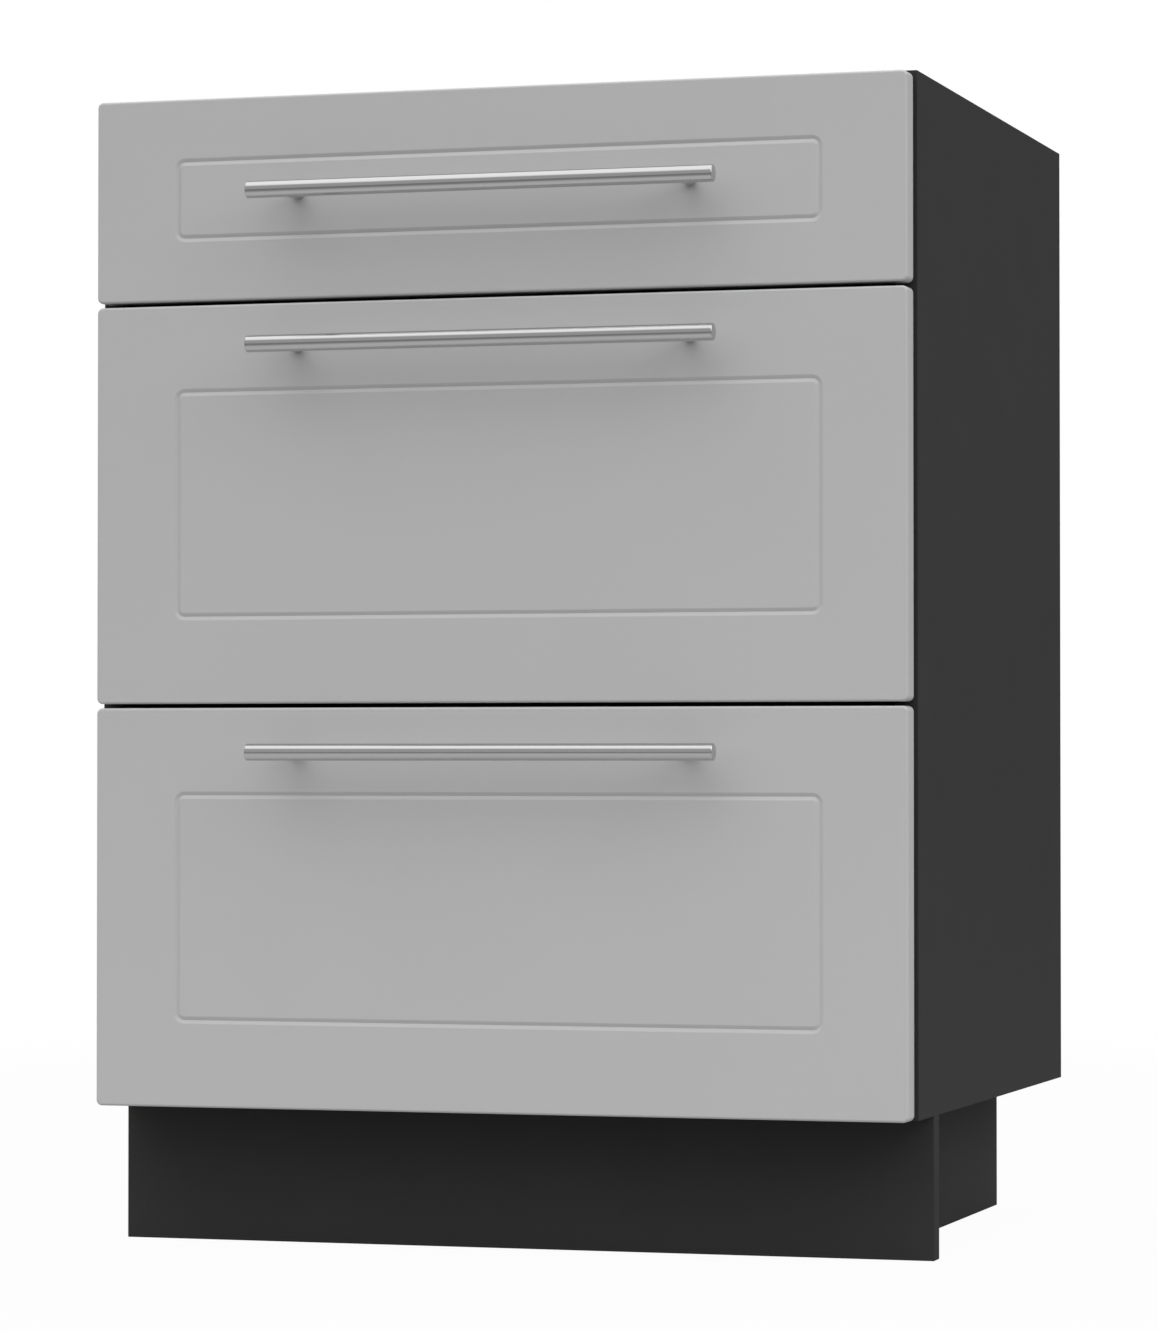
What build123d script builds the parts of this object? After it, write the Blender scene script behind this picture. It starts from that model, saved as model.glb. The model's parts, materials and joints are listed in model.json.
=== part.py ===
from build123d import *
import os
from dataclasses import dataclass

# Kitchen base cabinet with three drawers: an anthracite carcass on a recessed plinth,
# light grey fronts with a milled frame, round bar handles and full-extension ball slides.
# Millimetres. +X is to the right, +Y to the back and +Z up; the fronts face -Y.
# The origin lies on the floor, under the middle of the whole unit.

# ---- carcass ----------------------------------------------------------------
carcass_width = 600.0
carcass_height = 720.0
carcass_depth = 490.0
board = 16.0                    # carcass and plinth boards
rail_width = 100.0              # the two flat rails that carry the worktop
worktop_hole_radius = 2.5
worktop_hole_spacing = 400.0
back_thickness = 3.0
back_recess = 12.0              # from the back groove to the carcass's rear edge
back_play = 0.2                 # each side of the back panel in its groove
back_groove_depth = 7.0
back_edge_play = 0.5

# ---- plinth -----------------------------------------------------------------
plinth_height = 100.0
plinth_setback = 47.0           # behind the carcass's front edge
plinth_side_inset = 50.0        # from the carcass's side
plinth_end_gap = 5.0            # short of the carcass's rear edge

# ---- fronts -----------------------------------------------------------------
front_thickness = 18.0
front_side_reveal = 2.5
front_gap = 3.0
top_reveal = 2.0
shallow_front_height = 144.5    # the two deep fronts share the rest of the height
front_corner_radius = 4.0
front_edge_radius = 1.8
bumper_gap = 2.0                # between the fronts and the carcass
bumper_radius = 4.0
bumper_play = 0.2
bumper_inset = 20.0             # from a front's upper or lower edge

# ---- milled frame on each front ---------------------------------------------
groove_width = 6.4
groove_depth = 1.5
groove_side_inset = 62.0
groove_deep_inset = 62.0        # from the upper and lower edges of a deep front
groove_shallow_inset = 45.0
groove_corner_radius = 5.0

# ---- handles ----------------------------------------------------------------
bar_radius = 6.0
bar_overhang = 26.0             # past each post
bar_chamfer = 0.6
bar_standoff = 34.0             # from the front's face to the bar's axis
post_radius = 4.5
post_spacing = 288.0
deep_handle_drop = 31.5         # from the front's upper edge to the bar's axis
shallow_handle_drop = 70.5
spigot_radius = 3.0             # the post's end, let into the bar
spigot_length = 5.0
fit = 0.05                      # radial play of pins, screws and dowels in their holes

# ---- drawer boxes -------------------------------------------------------------
box_board = 12.0
box_lift = 24.0                 # underside of a box above its front's lower edge
deep_box_drop = 60.0            # top of a deep box below its front's upper edge
box_headroom = 14.0             # between the top box and the rails
base_thickness = 6.0
base_rise = 10.0                # underside of the base above the box's underside
base_groove_depth = 6.0
base_play = 0.1
box_dowel_radius = 3.0
box_dowel_length = 28.0
box_dowel_depth = 8.0           # the part of it in the box's side
box_dowel_inset = 25.0
box_dowel_pitch = 80.0          # from one dowel of a corner to the next, roughly

# ---- ball slides ----------------------------------------------------------------
slide_thickness = 12.7
slide_height = 45.0
slide_steel = 1.2
slide_setback = 2.0             # behind the carcass's front edge
slide_rear_space = 22.6         # behind the slide, in front of the back panel
slide_rise = 28.0               # slide's axis above the box's underside
slide_play = 0.2                # between a cage and the steel beside it
slide_lip_space = 1.7           # from the outer flanges to the drawer
slide_bend = 0.8
screw_inset = 35.0              # first and last screw, from the slide's ends
access_hole_radius = 5.0
ball_radius = 1.8
ball_play = 0.1
ball_count = 6
ball_pitch = 36.0
cage_steel = 0.6
cage_end = 10.0                 # from the last ball to the cage's end

# ---- fasteners ------------------------------------------------------------------
dowel_radius = 4.0
dowel_length = 30.0
dowel_depth = 10.0              # the part of it in the side panel
dowel_offset = 32.0             # between a dowel and its cam
cam_radius = 7.5
cam_height = 12.5
cam_reach = 24.0                # from the board's end to the cam's axis
cam_inset = 60.0                # from the bottom panel's front and rear edges
rail_cam_offset = 20.0          # cam and dowel each side of a rail's middle
bolt_radius = 2.5
bolt_depth = 11.0               # the part of it in the side panel
bolt_head_radius = 3.4
bolt_head_length = 4.0
bolt_bore_radius = 4.0
bore_play = 0.5                 # past the end of each dowel or bolt
wood_screw_radius = 2.0
wood_screw_length = 13.0
wood_screw_head = 3.7
pan_head_height = 2.2
pan_head_radius = 3.8
slide_screw_radius = 1.75
slide_screw_length = 10.0
front_screw_radius = 2.0
front_screw_length = 27.0
front_screw_inset = 60.0        # from the box's side
front_screw_edge = 25.0         # from the box's upper or lower edge
handle_screw_radius = 2.0
handle_screw_length = 28.0
handle_screw_clearance = 7.0    # radius of its hole through the box's front
recess_width = 0.9
recess_span = 4.4
recess_depth = 1.2

# ---- plinth brackets ------------------------------------------------------------
bracket_leg = 25.0
bracket_width = 20.0
bracket_steel = 2.0
bracket_end_space = 70.0        # from a bracket to the end of its board

# ---- places worked out from the sizes above ---------------------------------------
floor_z = 0.0
bar_reach = bar_standoff + bar_radius
overall_depth = bar_reach + front_thickness + bumper_gap + carcass_depth
front_face_y = bar_reach - overall_depth / 2
front_back_y = front_face_y + front_thickness
carcass_front_y = front_back_y + bumper_gap
carcass_back_y = overall_depth / 2
carcass_middle_y = (carcass_front_y + carcass_back_y) / 2
bar_y = front_face_y - bar_standoff
half_width = carcass_width / 2
wall_x = half_width - board                      # inner face of a side panel
inner_width = 2 * wall_x
carcass_z = plinth_height
carcass_top_z = carcass_z + carcass_height
bottom_top_z = carcass_z + board
rail_z = carcass_top_z - board
back_groove_width = back_thickness + 2 * back_play
back_groove_y = carcass_back_y - back_recess - back_groove_width
front_rail_y = carcass_front_y + rail_width / 2
rear_rail_y = back_groove_y - rail_width / 2
plinth_y = carcass_front_y + plinth_setback
plinth_back_y = carcass_back_y - plinth_end_gap
plinth_side_x = half_width - plinth_side_inset   # outer face of a plinth side
front_width = carcass_width - 2 * front_side_reveal
front_top_z = carcass_top_z - top_reveal
deep_front_height = (front_top_z - carcass_z - shallow_front_height) / 2 - front_gap

slide_y = carcass_front_y + slide_setback
slide_length = back_groove_y - slide_rear_space - slide_y
slide_middle_y = slide_y + slide_length / 2
slide_screw_ys = [slide_y + screw_inset, slide_middle_y, slide_y + slide_length - screw_inset]
box_x = wall_x - slide_thickness                 # outer face of a box side
box_inner_x = box_x - box_board
box_length = slide_length
box_end_y = front_back_y + box_length

# Across a slide, from the side panel's face to the drawer: the sheets lie inside each
# other, with the balls' rows between their flanges.
outer_cage_u = slide_steel + slide_play
middle_u = outer_cage_u + cage_steel + slide_play
inner_cage_u = middle_u + slide_steel + slide_play
drawer_lip_u = inner_cage_u + cage_steel + 2 * slide_play
outer_lip_u = slide_thickness - slide_lip_space
middle_lip_u = outer_lip_u - cage_steel
outer_cage_lip_u = middle_lip_u - 2 * slide_play
outer_half = slide_height / 2
outer_row = outer_half - slide_steel - ball_play - ball_radius
middle_half = outer_row - ball_radius - ball_play
inner_row = middle_half - slide_steel - ball_play - ball_radius
drawer_half = inner_row - ball_radius - ball_play
outer_ball_u = (middle_u + outer_lip_u) / 2
inner_ball_u = (drawer_lip_u + middle_lip_u) / 2
cage_length = (ball_count - 1) * ball_pitch + 2 * cage_end


@dataclass
class Drawer:
    """The heights of one drawer: its front, its box and its handle."""
    name: str
    z: float
    height: float
    box_top: float
    handle_drop: float
    groove_inset: float

    @property
    def top(self):
        return self.z + self.height

    @property
    def box_z(self):
        return self.z + box_lift

    @property
    def handle_z(self):
        return self.top - self.handle_drop

    @property
    def slide_z(self):
        return self.box_z + slide_rise


def deep_drawer(name, z):
    """A drawer with a deep front, whose box stays below the front's upper edge."""
    top = z + deep_front_height
    return Drawer(name, z, deep_front_height, top - deep_box_drop, deep_handle_drop, groove_deep_inset)


bottom_drawer = deep_drawer("bottom", carcass_z)
middle_drawer = deep_drawer("middle", bottom_drawer.top + front_gap)
top_drawer = Drawer("top", front_top_z - shallow_front_height, shallow_front_height,
                    rail_z - box_headroom, shallow_handle_drop, groove_shallow_inset)
drawers = [top_drawer, middle_drawer, bottom_drawer]


def save(piece, name):
    """Label one finished piece and write it to its own file."""
    piece.part.label = name
    export_step(piece.part, f"parts/{name}.step")


def seat(x, y, z, heading):
    """A place for a hole or a screw: at a point, going in along the heading."""
    return Plane(origin=(x, y, z), z_dir=-Vector(*heading))


left = (-1, 0, 0)
right = (1, 0, 0)
forward = (0, -1, 0)
backward = (0, 1, 0)
up = (0, 0, 1)

# Where the boards meet the left side panel: cams and dowels, as (y, middle of the board).
bottom_z = carcass_z + board / 2
rail_middle_z = rail_z + board / 2
bottom_cam_ys = [carcass_front_y + cam_inset, carcass_back_y - cam_inset]
bottom_dowel_ys = [bottom_cam_ys[0] - dowel_offset, carcass_middle_y, bottom_cam_ys[1] - dowel_offset]
rail_cam_ys = [y - rail_cam_offset for y in (front_rail_y, rear_rail_y)]
rail_dowel_ys = [y + rail_cam_offset for y in (front_rail_y, rear_rail_y)]
cam_places = [(y, bottom_z) for y in bottom_cam_ys] + [(y, rail_middle_z) for y in rail_cam_ys]
dowel_places = [(y, bottom_z) for y in bottom_dowel_ys] + [(y, rail_middle_z) for y in rail_dowel_ys]
slide_screw_places = [(y, drawer.slide_z) for drawer in drawers for y in slide_screw_ys]


# Steel angles in the corners under the bottom panel, as (x, y, the way that its board's
# inner face looks). One screw of each goes up into the panel and one into the board.
bracket_reach = plinth_side_x - board
bracket_places = [
    (-bracket_reach, plinth_y + board + bracket_end_space, right),
    (-bracket_reach, plinth_back_y - board - bracket_end_space, right),
    (-bracket_reach + bracket_end_space, plinth_y + board, backward),
    (-bracket_reach + bracket_end_space, plinth_back_y - board, forward),
]
bracket_middle = (bracket_leg + bracket_steel) / 2


def upward_seat(x, y, facing):
    """The seat of a bracket's screw that goes up into the bottom panel."""
    point = Vector(x, y, plinth_height - bracket_steel) + Vector(*facing) * bracket_middle
    return seat(*point, up)


def sideways_seat(x, y, facing):
    """The seat of a bracket's screw that goes into the plinth board behind it."""
    point = Vector(x, y, plinth_height - bracket_middle) + Vector(*facing) * bracket_steel
    return seat(*point, -Vector(*facing))


upward_seats = [upward_seat(*place) for place in bracket_places]
sideways_seats = [sideways_seat(*place) for place in bracket_places]
screw_hole = (wood_screw_radius + fit, wood_screw_length + bore_play)


def cross_recess():
    """Cut a cross for the screwdriver at each active location."""
    Box(recess_span, recess_width, 2 * recess_depth, mode=Mode.SUBTRACT)
    Box(recess_width, recess_span, 2 * recess_depth, mode=Mode.SUBTRACT)


def pan_screw(radius, length):
    """A pan-head screw that goes down from its seat at the origin."""
    with BuildPart() as screw:
        Cylinder(pan_head_radius, pan_head_height, align=(Align.CENTER, Align.CENTER, Align.MIN))
        fillet(screw.edges().group_by(Axis.Z)[-1], pan_head_height / 2)
        Cylinder(radius, length, align=(Align.CENTER, Align.CENTER, Align.MAX))
        with Locations((0, 0, pan_head_height)):
            cross_recess()
    return screw.part


def countersunk_screw():
    """A countersunk wood screw that goes down from its flush head at the origin."""
    cone = wood_screw_head - wood_screw_radius
    with BuildPart() as screw:
        with BuildSketch(Plane.XZ):
            with BuildLine():
                Polyline((0, 0), (wood_screw_head, 0), (wood_screw_radius, -cone),
                         (wood_screw_radius, cone - wood_screw_length), (0, -wood_screw_length), close=True)
            make_face()
        revolve(axis=Axis.Z)
        cross_recess()
    return screw.part


wood_screw = countersunk_screw()


# ================================ carcass =====================================
def board_end_bores(y_places, board_x, middle_z, underside_z):
    """Bore one left board end for its cams: the cam's pocket and the bolt's way to it."""
    pockets = [seat(board_x + cam_reach, y, underside_z, up) for y in y_places]
    with Locations(*pockets):
        Hole(cam_radius, cam_height)
    ways = [seat(board_x, y, middle_z, right) for y in y_places]
    with Locations(*ways):
        Hole(bolt_bore_radius, cam_reach)


def dowel_bores(y_places, board_x, middle_z):
    """Bore one left board end for its dowels."""
    bores = [seat(board_x, y, middle_z, right) for y in y_places]
    with Locations(*bores):
        Hole(dowel_radius + fit, dowel_length - dowel_depth + bore_play)


with BuildPart() as side_panel_left:
    with BuildSketch(Plane.XY.offset(carcass_z)):
        with Locations((-half_width + board / 2, carcass_middle_y)):
            Rectangle(board, carcass_depth)
    extrude(amount=carcass_height)
    # groove for the back panel, over the whole height
    with BuildSketch(Plane.XY.offset(carcass_z)):
        with Locations((-wall_x - back_groove_depth / 2, back_groove_y + back_groove_width / 2)):
            Rectangle(back_groove_depth, back_groove_width)
    extrude(amount=carcass_height, mode=Mode.SUBTRACT)
    with Locations(*[seat(-wall_x, y, z, left) for y, z in dowel_places]):
        Hole(dowel_radius + fit, dowel_depth + bore_play)
    with Locations(*[seat(-wall_x, y, z, left) for y, z in cam_places]):
        Hole(bolt_radius + fit, bolt_depth + bore_play)
    # the slide screws' heads reach through the steel into the board's face
    with Locations(*[seat(-wall_x, y, z, left) for y, z in slide_screw_places]):
        CounterSinkHole(wood_screw_radius + fit, wood_screw_head + fit - slide_steel,
                        wood_screw_length - slide_steel + bore_play, counter_sink_angle=90)

with BuildPart() as side_panel_right:
    mirror(side_panel_left.part, about=Plane.YZ)

with BuildPart() as bottom_panel:
    with BuildSketch(Plane.XY.offset(carcass_z)):
        with Locations((0, carcass_middle_y)):
            Rectangle(inner_width, carcass_depth)
    extrude(amount=board)
    with BuildSketch(Plane.XY.offset(bottom_top_z)):
        with Locations((0, back_groove_y + back_groove_width / 2)):
            Rectangle(inner_width, back_groove_width)
    extrude(amount=-back_groove_depth, mode=Mode.SUBTRACT)
    board_end_bores(bottom_cam_ys, -wall_x, bottom_z, carcass_z)
    dowel_bores(bottom_dowel_ys, -wall_x, bottom_z)
    with Locations(*upward_seats):
        Hole(*screw_hole)
    split(bisect_by=Plane.YZ, keep=Keep.BOTTOM)
    mirror(about=Plane.YZ)


def top_rail(rail_y, cam_y, dowel_y):
    """A flat rail between the side panels, with two screw holes for the worktop."""
    with BuildPart() as rail:
        with BuildSketch(Plane.XY.offset(rail_z)):
            with Locations((0, rail_y)):
                Rectangle(inner_width, rail_width)
        extrude(amount=board)
        board_end_bores([cam_y], -wall_x, rail_middle_z, rail_z)
        dowel_bores([dowel_y], -wall_x, rail_middle_z)
        with Locations((-worktop_hole_spacing / 2, rail_y, carcass_top_z)):
            Hole(worktop_hole_radius, board)
        split(bisect_by=Plane.YZ, keep=Keep.BOTTOM)
        mirror(about=Plane.YZ)
    return rail


top_rail_front = top_rail(front_rail_y, rail_cam_ys[0], rail_dowel_ys[0])
top_rail_rear = top_rail(rear_rail_y, rail_cam_ys[1], rail_dowel_ys[1])

with BuildPart() as back_panel:
    back_width = inner_width + 2 * (back_groove_depth - back_edge_play)
    back_z = bottom_top_z - back_groove_depth + back_edge_play
    with BuildSketch(Plane.XY.offset(back_z)):
        with Locations((0, back_groove_y + back_groove_width / 2)):
            Rectangle(back_width, back_thickness)
    extrude(amount=carcass_top_z - back_z)

with BuildPart() as carcass_dowels:
    with Locations(*[seat(-wall_x - dowel_depth, y, z, right) for y, z in dowel_places]):
        Cylinder(dowel_radius, dowel_length, align=(Align.CENTER, Align.CENTER, Align.MAX))
    mirror(about=Plane.YZ)

with BuildPart() as carcass_cam_bolts:
    with Locations(*[seat(-wall_x, y, z, left) for y, z in cam_places]):
        Cylinder(bolt_radius, bolt_depth, align=(Align.CENTER, Align.CENTER, Align.MAX))
        Cylinder(bolt_radius, cam_reach - bolt_head_length / 2, align=(Align.CENTER, Align.CENTER, Align.MIN))
    with Locations(*[seat(-wall_x + cam_reach, y, z, left) for y, z in cam_places]):
        Cylinder(bolt_head_radius, bolt_head_length)
    mirror(about=Plane.YZ)

with BuildPart() as carcass_cams:
    cam_seats = [seat(-wall_x + cam_reach, y, z - board / 2, up) for y, z in cam_places]
    with Locations(*cam_seats):
        Cylinder(cam_radius - fit, cam_height, align=(Align.CENTER, Align.CENTER, Align.MAX))
        cross_recess()
    # the hollow in each cam that takes the bolt's head
    with Locations(*[seat(-wall_x + cam_reach - cam_radius, y, z, right) for y, z in cam_places]):
        Hole(bolt_head_radius + 2 * fit, cam_radius + bolt_head_length)
    mirror(about=Plane.YZ)

with BuildPart() as front_bumpers:
    bumper_x = half_width - board / 2
    bumper_zs = [z for drawer in drawers for z in (drawer.z + bumper_inset, drawer.top - bumper_inset)]
    with Locations(*[seat(x, carcass_front_y, z, forward) for x in (-bumper_x, bumper_x) for z in bumper_zs]):
        Cylinder(bumper_radius, bumper_gap - bumper_play, align=(Align.CENTER, Align.CENTER, Align.MAX))

# ================================ plinth ======================================
with BuildPart() as plinth_front:
    with BuildSketch(Plane.XY.offset(floor_z)):
        with Locations((0, plinth_y + board / 2)):
            Rectangle(carcass_width, board)
    extrude(amount=plinth_height)
    with Locations(*sideways_seats):
        Hole(*screw_hole)
    split(bisect_by=Plane.YZ, keep=Keep.BOTTOM)
    mirror(about=Plane.YZ)

with BuildPart() as plinth_side_left:
    plinth_side_length = plinth_back_y - plinth_y - board
    with BuildSketch(Plane.XY.offset(floor_z)):
        with Locations((-plinth_side_x + board / 2, plinth_back_y - plinth_side_length / 2)):
            Rectangle(board, plinth_side_length)
    extrude(amount=plinth_height)
    with Locations(*sideways_seats):
        Hole(*screw_hole)

with BuildPart() as plinth_side_right:
    mirror(plinth_side_left.part, about=Plane.YZ)

with BuildPart() as plinth_back:
    with BuildSketch(Plane.XY.offset(floor_z)):
        with Locations((0, plinth_back_y - board / 2)):
            Rectangle(2 * (plinth_side_x - board), board)
    extrude(amount=plinth_height)
    with Locations(*sideways_seats):
        Hole(*screw_hole)
    split(bisect_by=Plane.YZ, keep=Keep.BOTTOM)
    mirror(about=Plane.YZ)

with BuildPart() as plinth_brackets:
    for x, y, facing in bracket_places:
        with Locations(Plane(origin=(x, y, plinth_height), x_dir=facing, z_dir=up)):
            Box(bracket_leg, bracket_width, bracket_steel, align=(Align.MIN, Align.CENTER, Align.MAX))
            Box(bracket_steel, bracket_width, bracket_leg, align=(Align.MIN, Align.CENTER, Align.MAX))
    with Locations(*upward_seats, *sideways_seats):
        CounterSinkHole(wood_screw_radius + fit, wood_screw_head + fit, bracket_steel, counter_sink_angle=90)
    mirror(about=Plane.YZ)

with BuildPart() as carcass_screws:
    slide_seats = [seat(-wall_x + slide_steel, y, z, left) for y, z in slide_screw_places]
    with Locations(*slide_seats, *upward_seats, *sideways_seats):
        add(wood_screw)
    mirror(about=Plane.YZ)


def save_carcass():
    """Write the boards and fittings of the carcass and the plinth."""
    save(side_panel_left, "side_panel_left")
    save(side_panel_right, "side_panel_right")
    save(bottom_panel, "bottom_panel")
    save(top_rail_front, "top_rail_front")
    save(top_rail_rear, "top_rail_rear")
    save(back_panel, "back_panel")
    save(carcass_dowels, "carcass_dowels")
    save(carcass_cam_bolts, "carcass_cam_bolts")
    save(carcass_cams, "carcass_cams")
    save(front_bumpers, "front_bumpers")
    save(plinth_front, "plinth_front")
    save(plinth_side_left, "plinth_side_left")
    save(plinth_side_right, "plinth_side_right")
    save(plinth_back, "plinth_back")
    save(plinth_brackets, "plinth_brackets")
    save(carcass_screws, "carcass_screws")


# ============================ fronts and handles ==============================
post_xs = (-post_spacing / 2, post_spacing / 2)
bar_half = post_spacing / 2 + bar_overhang


def front_screw_places(drawer):
    """Where the screws from the box go into the front, as (x, z)."""
    screw_x = box_inner_x - front_screw_inset
    heights = (drawer.box_z + front_screw_edge, drawer.box_top - front_screw_edge)
    return [(x, z) for x in (-screw_x, screw_x) for z in heights]


def front_panel(drawer):
    """A board with rounded corners and a soft front edge, and a V groove with curved
    walls milled round its middle as a frame."""
    frame_x = front_width / 2 - groove_side_inset
    frame_low = drawer.z + drawer.groove_inset
    frame_high = drawer.top - drawer.groove_inset
    groove_half = groove_width / 2
    with BuildPart() as front:
        with BuildSketch(Plane.XZ.offset(-front_back_y)):
            with Locations((0, (drawer.z + drawer.top) / 2)):
                RectangleRounded(front_width, drawer.height, front_corner_radius)
        extrude(amount=front_thickness)
        fillet(front.faces().sort_by(Axis.Y)[0].edges(), front_edge_radius)
        with BuildLine(Plane.XZ.offset(-front_face_y)) as frame_line:
            FilletPolyline((-frame_x, frame_low), (frame_x, frame_low), (frame_x, frame_high),
                           (-frame_x, frame_high), radius=groove_corner_radius, close=True)
        path = frame_line.wire()
        with BuildSketch(Plane(origin=path @ 0, x_dir=forward, z_dir=path % 0)) as groove:
            with BuildLine():
                TangentArc((0, groove_half), (-groove_depth, 0), tangent=(0, -1))
                TangentArc((0, -groove_half), (-groove_depth, 0), tangent=(0, 1))
                Polyline((0, -groove_half), (groove_depth, -groove_half), (groove_depth, groove_half),
                         (0, groove_half))
            make_face()
        sweep(groove.sketch, path=path, mode=Mode.SUBTRACT)
        with Locations(*[seat(x, front_back_y, drawer.handle_z, forward) for x in post_xs]):
            Hole(handle_screw_radius + fit, front_thickness)
        with Locations(*[seat(x, front_back_y, z, forward) for x, z in front_screw_places(drawer)]):
            Hole(front_screw_radius + fit, front_screw_length - box_board + bore_play)
    return front


def handle_bar(drawer):
    """A round bar, with a hole in its back for the end of each post."""
    with BuildPart() as bar:
        with BuildSketch(Plane.YZ.offset(-bar_half)):
            with Locations((bar_y, drawer.handle_z)):
                Circle(bar_radius)
        extrude(amount=2 * bar_half)
        chamfer(bar.edges().filter_by(GeomType.CIRCLE), bar_chamfer)
        with Locations(*[seat(x, bar_y + bar_radius, drawer.handle_z, forward) for x in post_xs]):
            Hole(spigot_radius + fit, spigot_length + bore_play)
    return bar


def handle_posts(drawer):
    """Two posts, hollowed to sit round the bar, each with a spigot in it and a tapped hole."""
    post_places = [(x, drawer.handle_z) for x in post_xs]
    with BuildPart() as posts:
        with BuildSketch(Plane.XZ.offset(-front_face_y)):
            with Locations(*post_places):
                Circle(post_radius)
        extrude(amount=bar_standoff)
        with Locations((0, bar_y, drawer.handle_z)):
            Cylinder(bar_radius + fit, 2 * bar_half, rotation=(0, 90, 0), mode=Mode.SUBTRACT)
        with BuildSketch(Plane.XZ.offset(-front_face_y)):
            with Locations(*post_places):
                Circle(spigot_radius)
        extrude(amount=bar_standoff - bar_radius + spigot_length)
        with Locations(*[seat(x, front_face_y, drawer.handle_z, forward) for x in post_xs]):
            Hole(handle_screw_radius + fit, handle_screw_length - front_thickness + bore_play)
    return posts


def handle_screws(drawer):
    """The two screws through the front into the posts, with their heads behind it."""
    screw = pan_screw(handle_screw_radius, handle_screw_length)
    with BuildPart() as screws:
        with Locations(*[seat(x, front_back_y, drawer.handle_z, forward) for x in post_xs]):
            add(screw)
    return screws


# =============================== drawer boxes =================================
base_y = front_back_y + box_board - base_groove_depth
base_end_y = box_end_y - box_board + base_groove_depth
base_middle_y = (base_y + base_end_y) / 2
corner_ys = (front_back_y + box_board / 2, box_end_y - box_board / 2)


def base_middle(drawer):
    """The middle of a drawer's base."""
    return (0, base_middle_y, drawer.box_z + base_rise + base_thickness / 2)


def cut_base_groove(drawer):
    """Cut the groove for the base into the board that is being made."""
    with Locations(base_middle(drawer)):
        Box(2 * (box_inner_x + base_groove_depth), base_end_y - base_y, base_thickness + 2 * base_play,
            mode=Mode.SUBTRACT)


def box_dowel_places(drawer):
    """The dowels in the box's left corners, as (y, z): two in a low box, more in a tall one."""
    low = drawer.box_z + box_dowel_inset
    high = drawer.box_top - box_dowel_inset
    gaps = max(1, round((high - low) / box_dowel_pitch))
    heights = [low + (high - low) * step / gaps for step in range(gaps + 1)]
    return [(y, z) for y in corner_ys for z in heights]


def cross_board(drawer, board_y):
    """The front or back board of a box, between its sides, from board_y backwards."""
    box_height = drawer.box_top - drawer.box_z
    with BuildPart() as cross:
        with BuildSketch(Plane.XZ.offset(-board_y)):
            with Locations((0, drawer.box_z + box_height / 2)):
                Rectangle(2 * box_inner_x, box_height)
        extrude(amount=-box_board)
        cut_base_groove(drawer)
        with Locations(*[seat(-box_inner_x, y, z, right) for y, z in box_dowel_places(drawer)]):
            Hole(box_dowel_radius + fit, box_dowel_length - box_dowel_depth + bore_play)
        split(bisect_by=Plane.YZ, keep=Keep.BOTTOM)
        mirror(about=Plane.YZ)
    return cross


def box_front(drawer):
    """The box's front board, with holes for the screws into the front panel, and room
    for the heads of the handle's screws where they fall behind it."""
    with BuildPart() as box_board_front:
        add(cross_board(drawer, front_back_y).part)
        inner_y = front_back_y + box_board
        with Locations(*[seat(x, inner_y, z, forward) for x, z in front_screw_places(drawer)]):
            Hole(front_screw_radius + fit, box_board)
        with Locations(*[seat(x, inner_y, drawer.handle_z, forward) for x in post_xs]):
            Hole(handle_screw_clearance, box_board)
    return box_board_front


def box_back(drawer):
    """The box's back board."""
    return cross_board(drawer, box_end_y - box_board)


def box_sides(drawer):
    """The two sides of a box, which the slides are screwed to."""
    box_height = drawer.box_top - drawer.box_z
    with BuildPart() as sides:
        with BuildSketch(Plane.YZ.offset(-box_x)):
            with Locations((front_back_y + box_length / 2, drawer.box_z + box_height / 2)):
                Rectangle(box_length, box_height)
        extrude(amount=box_board)
        cut_base_groove(drawer)
        with Locations(*[seat(-box_inner_x, y, z, left) for y, z in box_dowel_places(drawer)]):
            Hole(box_dowel_radius + fit, box_dowel_depth + bore_play)
        with Locations(*[seat(-box_x, y, drawer.slide_z, right) for y in slide_screw_ys]):
            Hole(slide_screw_radius + fit, slide_screw_length - slide_steel + bore_play)
        mirror(about=Plane.YZ)
    return sides


def box_base(drawer):
    """The base, held on all four sides in the boards' grooves."""
    with BuildPart() as base:
        with Locations(base_middle(drawer)):
            Box(2 * (box_inner_x + base_groove_depth - bore_play), base_end_y - base_y - 2 * bore_play,
                base_thickness)
    return base


def box_dowels(drawer):
    """The wooden dowels in the box's corners."""
    with BuildPart() as dowels:
        starts = [seat(-box_inner_x - box_dowel_depth, y, z, right) for y, z in box_dowel_places(drawer)]
        with Locations(*starts):
            Cylinder(box_dowel_radius, box_dowel_length, align=(Align.CENTER, Align.CENTER, Align.MAX))
        mirror(about=Plane.YZ)
    return dowels


def drawer_screws(drawer):
    """The long screws from the box into the front, and the short ones that hold the
    slides to the box."""
    front_screw = pan_screw(front_screw_radius, front_screw_length)
    slide_screw = pan_screw(slide_screw_radius, slide_screw_length)
    with BuildPart() as screws:
        left_places = [place for place in front_screw_places(drawer) if place[0] < 0]
        with Locations(*[seat(x, front_back_y + box_board, z, forward) for x, z in left_places]):
            add(front_screw)
        with Locations(*[seat(-box_x - slide_steel, y, drawer.slide_z, right) for y in slide_screw_ys]):
            add(slide_screw)
        mirror(about=Plane.YZ)
    return screws


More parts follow.
